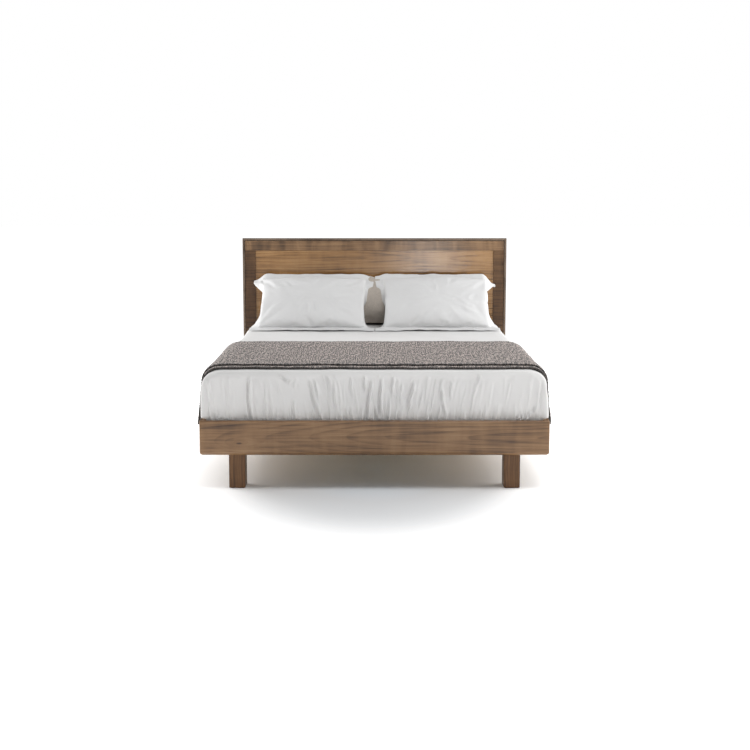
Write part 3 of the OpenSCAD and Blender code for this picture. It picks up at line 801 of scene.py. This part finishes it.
def build_pillow(side, seed):
    low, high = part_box(side + "_pillow")
    points, faces = stuffed_case(width=0.748, height=0.498, rim_cells=5, step=PILLOW_STEP,
                                 pressure=1.9, seed=seed, creases=0.003, pinch=(0.016, 0.004),
                                 shape=pillow_shape(side, seed))
    points = leaning(points, PILLOW_LEAN, (low + high) / 2)
    points = settled(points, BED_TOP + 0.0025)
    # The two pillows press softly against the plane between them.
    outward, gap, give = -1 if side == "left" else 1, 0.0012, 0.002
    points[:, 0] = outward * (gap + give * np.logaddexp(0, (outward * points[:, 0] - gap) / give))
    piece = make_mesh(side + "_pillow_case", points, faces, MAT["pillow"], 1)
    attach(piece, "pillow_" + side)
    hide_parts(side + "_pillow")


def build_long_cushion():
    low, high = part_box("long_cushion")
    points, faces = stuffed_case(width=1.10, height=0.325, rim_cells=0, step=0.0125,
                                 pressure=2.0, seed=9, creases=0.002)
    points = leaning(points, CUSHION_LEAN, (low + high) / 2)
    points = settled(points, BED_TOP + 0.002)
    points[:, 1] = np.minimum(points[:, 1], HEADBOARD_FACE - 0.002)
    piece = make_mesh("long_cushion_case", points, faces, MAT["cushion"], 1)
    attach(piece, "cushion")
    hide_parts("long_cushion")


# ---- duvet ----

SIDE_COLUMNS, SLIT_COLUMNS, CORNER_COLUMNS, FOOT_COLUMNS = 96, 26, 10, 210
SIDE_POINTS = SIDE_COLUMNS + SLIT_COLUMNS + CORNER_COLUMNS // 2
FINE = 3
SIDE_ROLL, CORNER_ROLL, FOOT_ROLL, ROLL_POWER = 0.095, 0.076, 0.055, 0.78
EDGE_RADIUS, TOP_RADIUS, TOP_INSET, DUVET_THICKNESS = 0.020, 0.050, 0.20, 0.024
SLIT_RUN, SLIT_DEPTH = 0.130, 0.0275
FOLD_GAIN = 2.6
# Plan of the deep fold behind each front corner: out from the side, back from the foot.
SLIT = [(0.0290, 0.150), (0.0275, 0.090), (0.0262, 0.062), (0.0215, 0.052), (0.0165, 0.058),
        (0.0175, 0.090), (0.0215, 0.150), (0.0205, 0.185), (0.0170, 0.170), (0.0100, 0.110),
        (0.0025, 0.045), (0.0, 0.020)]
# The longest folds of the duvet's foot: x and z where each starts, x and z where it ends, height.
LONG_FOLDS = [(-0.588, 0.530, -0.579, 0.335, 0.0060), (-0.512, 0.500, -0.507, 0.340, 0.0022),
              (-0.450, 0.545, -0.355, 0.490, 0.0030), (-0.300, 0.515, -0.250, 0.335, 0.0052),
              (-0.378, 0.420, -0.370, 0.330, 0.0038), (-0.190, 0.500, -0.171, 0.350, 0.0045),
              (-0.110, 0.530, -0.102, 0.440, 0.0030), (-0.046, 0.535, -0.040, 0.470, 0.0045),
              (-0.010, 0.510, -0.029, 0.330, 0.0068), (0.036, 0.520, 0.031, 0.345, 0.0068),
              (0.008, 0.390, 0.022, 0.328, 0.0045), (0.092, 0.530, 0.084, 0.450, 0.0032),
              (0.188, 0.505, 0.160, 0.370, 0.0060), (0.130, 0.500, 0.120, 0.400, 0.0030),
              (0.317, 0.480, 0.334, 0.360, 0.0048), (0.365, 0.510, 0.358, 0.430, 0.0028),
              (0.498, 0.545, 0.470, 0.450, 0.0030), (-0.780, 0.350, -0.672, 0.329, 0.0060),
              (0.765, 0.390, 0.715, 0.328, 0.0050), (0.742, 0.375, 0.690, 0.329, 0.0045),
              (0.715, 0.365, 0.668, 0.330, 0.0040)]


def outline(half_w, foot_y, head_y, radius):
    """Points and outward directions along the bedding's outline: left side, foot, right side."""
    grade = np.linspace(0, 1, SIDE_COLUMNS + 1)
    slit_y = foot_y + radius + SLIT_RUN * np.linspace(1, 0, SLIT_COLUMNS + 1)
    side_y = head_y - (head_y - slit_y[0]) * (1.3 * grade - 0.3 * grade ** 2.2)
    side_y = np.concatenate([side_y, slit_y[1:]])
    left = np.stack([np.full_like(side_y, -half_w), side_y, -np.ones_like(side_y), 0 * side_y], 1)
    a = np.linspace(0, math.pi / 2, CORNER_COLUMNS + 1)[1:]
    corner = np.stack([-half_w + radius - radius * np.cos(a), foot_y + radius - radius * np.sin(a),
                       -np.cos(a), -np.sin(a)], 1)
    x = np.linspace(-half_w + radius, half_w - radius, FOOT_COLUMNS + 1)[1:]
    foot = np.stack([x, np.full_like(x, foot_y), 0 * x, -np.ones_like(x)], 1)
    mirror = np.concatenate([left, corner[:-1]])[::-1] * [-1, 1, -1, 1]
    corner_end = corner[-1:] * [-1, 1, -1, 1]
    return np.concatenate([left, corner, foot[:-1], corner_end, mirror])


def creases(s, t, count, span, lean, seed, low, size):
    """Sum of small folds that run down the cloth: s along it, t from 0 at its top to 1."""
    draw = np.random.default_rng(seed)
    total = np.zeros_like(s, float)
    for _ in range(count):
        place = span[0] + (span[1] - span[0]) * draw.random()
        width = 0.0038 + 0.0040 * draw.random()
        height = size * (0.3 + 0.9 * draw.random())
        start = low + (0.80 - low) * draw.random()
        stop = min(1.15, start + 0.20 + 0.55 * draw.random())
        tilt = lean(place) * (0.5 + draw.random()) + 0.014 * draw.normal()
        side = 1 if draw.random() < 0.5 else -1
        q = (s - place - tilt * (t - 0.65) - 0.008 * np.sin(3.0 * t + 6 * draw.random())) / width
        shape = np.exp(-q ** 2) - 0.5 * np.exp(-((q - 1.8 * side) / 1.1) ** 2)
        total += height * shape * smooth(start, start + 0.2, t) * (1 - smooth(stop - 0.2, stop, t))
    return total


def long_folds(x, z, width=0.0062):
    """The longest folds, each a ridge with a valley on its left."""
    total = np.zeros_like(x, float)
    for start_x, start_z, end_x, end_z, height in LONG_FOLDS:
        run = (start_z - z) / (start_z - end_z)
        q = (x - start_x - (end_x - start_x) * np.clip(run, -0.2, 1.2)
             - 0.002 * np.sin(9 * run)) / width
        ridge = np.exp(-q ** 2) - 0.75 * np.exp(-((q + 1.7) / 0.9) ** 2)
        total += height * ridge * smooth(-0.1, 0.2, run) * (1 - smooth(0.8, 1.1, run))
    return total


def foot_lean(x):
    """Sideways run of a fold at the foot: both halves lean in towards the middle."""
    q = x / 0.36
    return -0.075 * q * math.exp(0.5 * (1 - q * q))


def slit_plan():
    """Points of SLIT spread evenly along its path, from the side to the corner."""
    plan = np.array(SLIT)
    run = np.concatenate([[0], np.cumsum(np.hypot(*np.diff(plan, axis=0).T))])
    even = np.linspace(0, run[-1], SLIT_COLUMNS + 1)
    return np.interp(even, run, plan[:, 0]), np.interp(even, run, plan[:, 1])


def duvet_rows(half_w, foot_y, head_y, floor_z, rim_xy):
    """Base points of the duvet's edge, row by row from its flat top down to its tucked hem.

    Also gives, for each point, how far down it is and how far the skin has turned to upright."""
    edge = outline(half_w, foot_y, head_y, EDGE_RADIUS)
    cols = len(edge)
    at_foot = smooth(0.5, 0.9, -edge[:, 3])
    wider = (SIDE_ROLL - CORNER_ROLL) * smooth(0.10, 0.55, edge[:, 1] - foot_y)
    roll = CORNER_ROLL + wider + (FOOT_ROLL - CORNER_ROLL) * at_foot

    def rolled(across, radius):
        shape = outline(half_w - CORNER_ROLL * across, foot_y + FOOT_ROLL * across, head_y, radius)
        shape[:, 0] -= np.sign(shape[:, 0]) * wider * across
        return shape[:, :2]

    rows, kinds = [], []
    start = rolled(1.0, TOP_RADIUS)
    for k in np.linspace(0, 1, 8)[1:-1]:
        rows.append(np.c_[rim_xy * (1 - k) + start * k, np.full(cols, BED_TOP)])
        kinds.append((np.zeros(cols), 0.0))
    for k in np.linspace(0, 1, 15):
        a = k * math.pi / 2
        across, down = 1 - math.sin(a) ** ROLL_POWER, 1 - abs(math.cos(a)) ** ROLL_POWER
        radius = TOP_RADIUS - (TOP_RADIUS - EDGE_RADIUS) * k ** 2
        rows.append(np.c_[rolled(across, radius), BED_TOP - roll * down])
        kinds.append((np.full(cols, 0.55 * k), a))
    wall = BED_TOP - roll - RAIL_TOP
    for k in np.concatenate([np.linspace(0, 0.93, 14)[1:], [0.955, 0.975, 0.99, 1.0]]):
        rows.append(np.c_[edge[:, :2], BED_TOP - roll - wall * k])
        kinds.append((np.full(cols, 0.55 + 0.45 * k), math.pi / 2))
    for z in np.linspace(RAIL_TOP, floor_z, 7)[1:]:
        rows.append(np.c_[edge[:, :2], np.full(cols, z)])
        kinds.append((1 + 0.45 * (RAIL_TOP - z) / wall, math.pi / 2))
    tilt = np.array([k[1] for k in kinds])[:, None] * np.ones(cols)
    normal = np.stack([edge[:, 2] * np.sin(tilt), edge[:, 3] * np.sin(tilt), np.cos(tilt)], 2)
    return np.array(rows), np.array([k[0] for k in kinds]), normal, at_foot


def duvet_start(base, t, normal, at_foot, half_w, foot_y):
    """Shape of the duvet's edge before the simulation: side bulges and the corner slits."""
    z, back = base[:, :, 2], base[:, :, 1] - foot_y
    over_rail = smooth(RAIL_TOP + 0.0005, RAIL_TOP + 0.012, z)
    lead = 0.009 * (1 - smooth(0.075, 0.115, back)) * smooth(0.15, 0.5, t) * (1 - smooth(0.6, 0.8, t))
    belly = (0.010 * smooth(0.1, 0.5, t) + 0.015 * smooth(0.55, 0.80, t) + lead) * over_rail
    near = 1 - smooth(0.17, 0.55, back)
    bulge = 0.010 * smooth(0.1, 0.5, t) * over_rail * (1 - near) + belly * near
    bulge -= 0.018 * smooth(0.9, 1.7, back) * smooth(0.1, 0.5, t)
    swell = waves(base[:, :, 0] + base[:, :, 1], t * 0.25, 20, 0.5, 0.12, 11) * 0.0020
    height = (bulge * (1 - at_foot) + swell * smooth(0.05, 0.5, t)) * (1 - smooth(0.97, 1.06, t))
    height -= 0.0075 * at_foot * smooth(0.4, 0.8, t)
    points = base + normal * height[:, :, None]
    out, behind = slit_plan()
    share = smooth(0.44, 0.58, t) * over_rail
    for side, columns in ((-1, slice(SIDE_COLUMNS, SIDE_COLUMNS + SLIT_COLUMNS + 1)),
                          (1, slice(-1 - SIDE_COLUMNS, -2 - SIDE_COLUMNS - SLIT_COLUMNS, -1))):
        part, k = points[:, columns], share[:, columns]
        x = side * (half_w + out * belly[:, columns] / SLIT_DEPTH)
        part[:, :, 0] += k * (x - part[:, :, 0])
        part[:, :, 1] += k * (foot_y + behind - part[:, :, 1])
        points[:, columns] = part
    return points


def duvet_top(edge, half_w, foot_y, head_y):
    """Grid of the duvet's flat top, and the indices of its rim: left side, foot, right side."""
    inner_x, inner_y = half_w - TOP_INSET, foot_y + TOP_INSET
    xs = np.linspace(-inner_x, inner_x, len(edge) - 2 * SIDE_POINTS)
    side_y = edge[:SIDE_POINTS + 1, 1]
    ys = head_y - (head_y - inner_y) * (head_y - side_y) / (head_y - side_y[-1])
    gx, gy = np.meshgrid(xs, ys)
    wide, last = len(xs), SIDE_POINTS * len(xs)
    rim = np.concatenate([np.arange(SIDE_POINTS + 1) * wide, last + np.arange(1, wide),
                          np.arange(SIDE_POINTS - 1, -1, -1) * wide + wide - 1])
    return gx, gy, rim


def simulated_edge(rim_points, band, t):
    """Lets the duvet's edge sag and pucker a little; the corner slits keep their shape."""
    rows, cols = t.shape
    start = np.concatenate([rim_points[None], band]).reshape(-1, 3)
    hold = np.clip(0.9 - 1.3 * t, 0.06, 0.9) + 0.9 * smooth(0.93, 1.0, t)
    at_slit = SIDE_COLUMNS + SLIT_COLUMNS + 4
    hold[:, SIDE_COLUMNS:at_slit] = 0.95
    hold[:, -at_slit:-SIDE_COLUMNS] = 0.95
    hold = np.concatenate([np.ones(cols), np.clip(hold, 0, 1).ravel()])
    spare_cloth, furthest = [1.022, 1.022, 1.0], 0.008
    moved = simulate(start, grid_faces(rows + 1, cols)[:, ::-1], frames=14, pressure=0.6,
                     hold=hold, bend=0.35, rest=start * spare_cloth)
    moved = capped(start, moved, furthest).reshape(rows + 1, cols, 3)[1:]
    order = np.minimum(np.arange(cols), np.arange(cols)[::-1])
    kept = smooth(SIDE_COLUMNS - 12, SIDE_COLUMNS - 2, order) * \
        (1 - smooth(SIDE_POINTS - CORNER_COLUMNS // 2 + 1, SIDE_POINTS, order))
    kept = (kept * smooth(0.3, 0.5, t))[:, :, None]
    return moved + kept * (band - moved)


def pressed_folds(band, t, at_foot, foot_y, head_y):
    """Height of all the fine folds: the foot's long ones, its gathers, and the sides' creases."""
    x, y, z = (band[:, :, k] for k in range(3))
    width = (-0.80, 0.80)
    folds = FOLD_GAIN * long_folds(x, z) * smooth(0.1, 0.3, t)
    folds += creases(x, t, 110, width, foot_lean, 5, 0.18, 0.0036)
    folds += creases(x, t, 60, (-0.30, 0.32), foot_lean, 6, 0.2, 0.0058)
    folds += creases(x, t, 120, width, lambda x: 0.05 * math.sin(31 * x), 7, 0.76, 0.0060)
    gather = 0.0030 * (1 + waves(x, 0 * x, 14, 0.10, 0.018, 21)) * smooth(0.86, 0.99, t)
    sides = creases(y, t, 120, (foot_y + 0.11, head_y), lambda y: 0.02 * math.sin(9 * y), 8, 0.3,
                    0.0040)
    behind = smooth(foot_y + 0.10, foot_y + 0.13, y)
    height = (folds - gather) * at_foot + sides * (1 - at_foot) * behind
    return height * (1 - smooth(0.995, 1.06, t))


def kept_clear(band, t, low, high):
    """Keeps the duvet over the rails where it bulges, and inside them where it is tucked."""
    x, y, z = (band[:, :, k] for k in range(3))
    over = ((np.abs(x) > high.x) | (y < low.y)) & (t < 0.999)
    z = np.where(over, np.maximum(z, RAIL_TOP + 0.0015), z)
    deep = z < RAIL_TOP + 0.0012
    x = np.where(deep, np.clip(x, low.x + 5e-4, high.x - 5e-4), x)
    y = np.where(deep, np.maximum(y, low.y + 5e-4), y)
    return np.stack([x, np.minimum(y, high.y), np.minimum(z, BED_TOP + 0.0012)], 2)


def duvet_faces(top_shape, rim, stations, rows):
    """Faces of the top, of the polygons that join it to the finer edge, and of the edge."""
    n, wide = top_shape[0] * top_shape[1], len(stations)
    edge_points = n + np.arange(rows * wide).reshape(rows, wide)
    faces = [tuple(f) for f in grid_faces(*top_shape)[:, ::-1]]
    for i in range(len(rim) - 1):
        near = np.flatnonzero((stations >= i) & (stations <= i + 1))
        faces.append((rim[i], *edge_points[0, near], rim[i + 1]))
    faces += [tuple(f[::-1]) for f in grid_faces(rows, wide, n)]
    border = np.concatenate([edge_points[::-1, 0], np.arange(top_shape[1]), edge_points[:, -1],
                             edge_points[-1, -2:0:-1]])
    return faces, border


def build_duvet():
    """Builds the duvet and returns its outer skin for the throw to rest on."""
    low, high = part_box("duvet")
    half_w, foot_y, head_y = high.x, low.y, high.y
    edge = outline(half_w, foot_y, head_y, EDGE_RADIUS)
    cols = len(edge)
    gx, gy, rim = duvet_top(edge, half_w, foot_y, head_y)
    ring_xy = np.stack([gx, gy], 2).reshape(-1, 2)[rim]
    base, t, normal, at_foot = duvet_rows(half_w, foot_y, head_y, low.z, ring_xy)
    band = duvet_start(base, t, normal, at_foot, half_w, foot_y)

    ripple = waves(gx, gy, 26, 0.5, 0.09, 14) * 0.0011 - 0.0012
    inner = np.stack([gx, gy, BED_TOP + ripple], 2).reshape(-1, 3)
    rows = len(base)
    fade = smooth(0, 1, np.arange(rows) / 9)[:, None]
    band[:, :, 2] += (inner[rim][None, :, 2] - BED_TOP) * (1 - fade)
    band = simulated_edge(inner[rim], band, t)

    # The foot's columns are made finer before the fine folds are pressed into them.
    n_foot = cols - 1 - 2 * SIDE_POINTS
    stations = np.concatenate([np.arange(SIDE_POINTS),
                               SIDE_POINTS + np.arange(n_foot * FINE) / FINE,
                               SIDE_POINTS + n_foot + np.arange(SIDE_POINTS + 1)])
    band, base, normal = (resampled(grid, stations) for grid in (band, base, normal))
    t = resampled(t[:, :, None], stations)[:, :, 0]
    at_foot = np.interp(stations, np.arange(cols), at_foot)
    band = band + normal * pressed_folds(band, t, at_foot, foot_y, head_y)[:, :, None]
    band = kept_clear(band, t, low, high)

    faces, border = duvet_faces(gx.shape, rim, stations, rows)
    points = np.concatenate([inner, band.reshape(-1, 3)])
    flat = np.concatenate([np.stack([gx, gy, np.full_like(gx, BED_TOP)], 2).reshape(-1, 3),
                           base.reshape(-1, 3)])
    up = np.concatenate([np.tile([0.0, 0, 1], (len(inner), 1)), normal.reshape(-1, 3)])
    lining = flat - up * DUVET_THICKNESS
    lining[:, 1] = np.minimum(lining[:, 1], head_y)
    total, after = len(points), np.roll(border, -1)
    walls = np.stack([border, after, after + total, border + total], 1)
    inside = [tuple(i + total for i in f[::-1]) for f in faces]
    piece = make_mesh("duvet_cover", np.concatenate([points, lining]),
                      faces + inside + [tuple(w) for w in walls], MAT["duvet"])
    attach(piece, "bedding")
    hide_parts("duvet")
    return BVHTree.FromPolygons(points.tolist(), [tuple(map(int, f)) for f in faces])


# ---- mattress ----


def build_mattress():
    """Rounded block with a taped edge above and below."""
    low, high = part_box("mattress")
    middle, size = (low + high) / 2, high - low
    tape = 0.006
    half_x, half_y = size.x / 2 - tape, size.y / 2 - tape
    profile = [(0.25, 0.0), (0.10, 0.0), (0.03, 0.001), (0.012, 0.006), (0.002, 0.014)]
    for z in (0.022, 0.222):
        profile += [(0.000, z - 0.004), (-0.005, z - 0.001), (-tape, z + 0.003),
                    (-0.003, z + 0.007), (0.001, z + 0.010)]
        if z < 0.1:
            profile += [(-0.002, 0.08), (-0.003, 0.13), (-0.001, 0.19)]
    profile += [(0.014, 0.247), (0.032, 0.259), (0.058, 0.266), (0.10, 0.2685), (0.25, 0.2695)]
    loops = []
    for inset, z in profile:
        loop, radius = [], max(0.06 - inset, 0.015)
        cx, cy = half_x - inset - radius, half_y - inset - radius
        for corner, (sx, sy) in enumerate([(1, 1), (-1, 1), (-1, -1), (1, -1)]):
            for k in range(9):
                a = math.pi / 2 * (corner + k / 8)
                loop.append((middle.x + sx * cx + radius * math.cos(a),
                             middle.y + sy * cy + radius * math.sin(a), low.z + z))
        loops.append(loop)
    cols, total = len(loops[0]), sum(map(len, loops))
    faces = [(r + c, r + (c + 1) % cols, r + cols + (c + 1) % cols, r + cols + c)
             for r in range(0, total - cols, cols) for c in range(cols)]
    faces += [tuple(range(cols))[::-1], tuple(range(total - cols, total))]
    piece = make_mesh("mattress_body", np.array(loops).reshape(-1, 3), faces, MAT["ticking"])
    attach(piece, "bedding")
    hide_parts("mattress")


# ---- throw ----

# The flat half width, the height that the rolled edge turns about, and the hem's outward lean.
FLAT_HALF, CURL_CENTRE_Z, HEM_FLARE = 0.726, 0.4675, 0.018
# Heights of the two layers' middles over the bed, the knit's thickness, the upper hem's step back.
UNDER_LAYER, UPPER_LAYER, KNIT_THICKNESS, HEM_STEP = 0.0055, 0.0150, 0.0075, 0.050
# Width and length of a stitch, and how far its legs slant.
STITCH, STITCH_SLANT = (0.021, 0.026), 0.42


def knit(u, v):
    """Relief of chunky knit stitches, 0 to 1: two slanted legs to each stitch."""
    across = np.abs((u / STITCH[0]) % 1.0 * 2 - 1)
    leg = np.sqrt(np.clip(1 - (2 * across - 1) ** 2, 0, 1))
    climb = 0.5 + 0.5 * np.cos(2 * math.pi * (v / STITCH[1] - STITCH_SLANT * across))
    return leg * (0.35 + 0.65 * climb)


def throw_rows(front, back):
    """Y and height of each row: under layer to the back, round the fold, upper layer forward.

    Also gives the number of the first row that lies on the under layer."""
    rows = [(y, UNDER_LAYER) for y in np.concatenate([np.arange(front, front + 0.06, 0.005),
                                                      np.arange(front + 0.06, back, 0.025)])]
    fold, first_upper = (UPPER_LAYER - UNDER_LAYER) / 2, len(rows) + 4
    for a in np.linspace(0, math.pi, 9):
        rows.append((back + fold * math.sin(a), UNDER_LAYER + fold - fold * math.cos(a)))
    rows += [(y, UPPER_LAYER) for y in np.arange(back - 0.005, front + HEM_STEP, -0.0055)]
    return (*np.array(rows).T, first_upper)


def around(field):
    """The field and its eight shifted copies, for spreading and averaging."""
    wide = np.pad(field, 1, mode="edge")
    rows, cols = field.shape
    return [wide[a:a + rows, b:b + cols] for a in range(3) for b in range(3)]


def clearance(points, direction, bed, clear):
    """How far each point has to move out to lie clear of the bed, spread and smoothed."""
    need, reach = np.zeros(points.shape[:2]), 0.03
    for i, j in np.ndindex(need.shape):
        n = Vector(direction[i, j])
        hit = bed.ray_cast(Vector(points[i, j]) + n * reach, -n, 2 * reach)
        if hit[0] is not None:
            need[i, j] = max(0.0, clear[i] - (hit[3] - reach))
    for _ in range(2):
        need = np.maximum.reduce(around(need))
    for _ in range(3):
        need = sum(around(need)) / 9
    return need


def build_throw(bed):
    low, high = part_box("throw")
    radius = BED_TOP + 0.0005 - CURL_CENTRE_Z
    arc = (radius + 0.006) * math.pi / 2
    drop = CURL_CENTRE_Z - low.z
    half = FLAT_HALF + arc + drop
    front, back = low.y, high.y - 0.008
    ys, lift, first_upper = throw_rows(front, back)
    run = np.concatenate([[0], np.cumsum(np.hypot(np.diff(ys), np.diff(lift)))])
    u, y = np.meshgrid(np.linspace(-half, half, 386), ys)
    lift = lift[:, None] * np.ones_like(u)
    v = run[:, None] * np.ones_like(u)
    to_end = run[-1] - v

    hem = np.minimum.reduce([v, to_end, half - np.abs(u)])
    # Painted shade: darker yarn along every hem, under the rolled edges, and along the rounded fold
    # at the back.
    dark = np.maximum(1 - smooth(0.006, 0.013, hem), 0.55 * np.exp(-((y - back) / 0.02) ** 2))
    lift = lift - 0.0028 * (1 - smooth(0.0, 0.010, to_end))
    scallop = 0.0035 * np.abs(np.sin(math.pi * u / STITCH[0]))
    y = y - np.where(to_end < 0.012, scallop, 0) - np.where(v < 0.008, 0.6 * scallop, 0)
    near_front = 1 - smooth(0, 0.25, y - front)
    y = y + 0.0045 * waves(u, lift * 25, 14, 0.7, 0.12, 31) * near_front
    y = y + 0.005 * waves(u, u * 0, 12, 0.9, 0.10, 32) * smooth(-0.25, 0.03, y)

    # The bedding's edge is squarer near the foot, so the throw turns down more tightly there.
    tight = 0.018 * (1 - smooth(0.02, 0.42, y - front))
    flat_half, centre_z, radius = FLAT_HALF + tight, CURL_CENTRE_Z + tight, radius - tight
    arc = arc - tight * math.pi / 2
    d = np.clip(np.abs(u) - flat_half - arc, 0, None)
    a = np.clip((np.abs(u) - flat_half) / arc, 0, 1) * math.pi / 2
    sway = 0.0045 * waves(y + 3 * np.sign(u), d * 0.4, 10, 0.45, 0.14, 33)
    out = HEM_FLARE * (d / drop) ** 1.3 + smooth(0, drop, d) * sway
    d = d * (1 + 0.02 * waves(y, np.sign(u) * 2.0, 8, 0.6, 0.15, 34))
    relief = 0.0042 * (knit(u, v) - 0.45) * smooth(0.0, 0.004, np.minimum(v, to_end) + 0.002)
    lift = lift + relief + 0.0012 * waves(u, y, 22, 0.4, 0.08, 35)

    def place(extra):
        r = radius + lift + extra
        x = np.sign(u) * (np.minimum(np.abs(u), flat_half) + r * np.sin(a) + out)
        return np.stack([x, y, centre_z + r * np.cos(a) - d], 2)

    points = place(0)
    direction = place(0.01) - points
    direction /= np.linalg.norm(direction, axis=2, keepdims=True)
    layer = np.where(np.arange(len(ys)) > first_upper, UPPER_LAYER, UNDER_LAYER)
    points = place(clearance(points, direction, bed, layer - 0.0007))
    piece = make_mesh("folded_throw", points.reshape(-1, 3), grid_faces(*u.shape)[:, ::-1],
                      MAT["throw"])
    # The third value of cloth carries the painted shade of the hems and fold.
    cloth = piece.data.attributes.new("cloth", "FLOAT_VECTOR", "POINT")
    cloth.data.foreach_set("vector", np.stack([u, v, dark], 2).astype(np.float32).ravel())
    thick = piece.modifiers.new("Solidify", "SOLIDIFY")
    thick.thickness, thick.offset = KNIT_THICKNESS, 0.0
    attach(piece, "bedding")
    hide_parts("throw")


SOFT_NODES = ["mattress", "duvet", "throw", "long_cushion", "left_pillow", "right_pillow"]
BED_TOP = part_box("duvet")[1].z
RAIL_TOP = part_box("front_rail")[1].z
HEADBOARD_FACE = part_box("headboard_panel")[0].y
MAT = {
    "pillow": cotton("pillow_cotton", (221, 221, 221), 3.0),
    "duvet": cotton("white_cotton", (222, 221, 220), 8.0),
    "ticking": ticking("mattress_ticking", (233, 231, 226)),
    "throw": knitwear("taupe_knit", (100, 92, 88)),
    "cushion": weave("taupe_weave", (190, 181, 171)),
}

build_camera()
build_stage()
finish_rails()
finish_headboard()
finish_legs()
finish_deck()
soften_edges()
bed = build_duvet()
build_mattress()
build_throw(bed)
build_long_cushion()
build_pillow("left", 3)
build_pillow("right", 5)
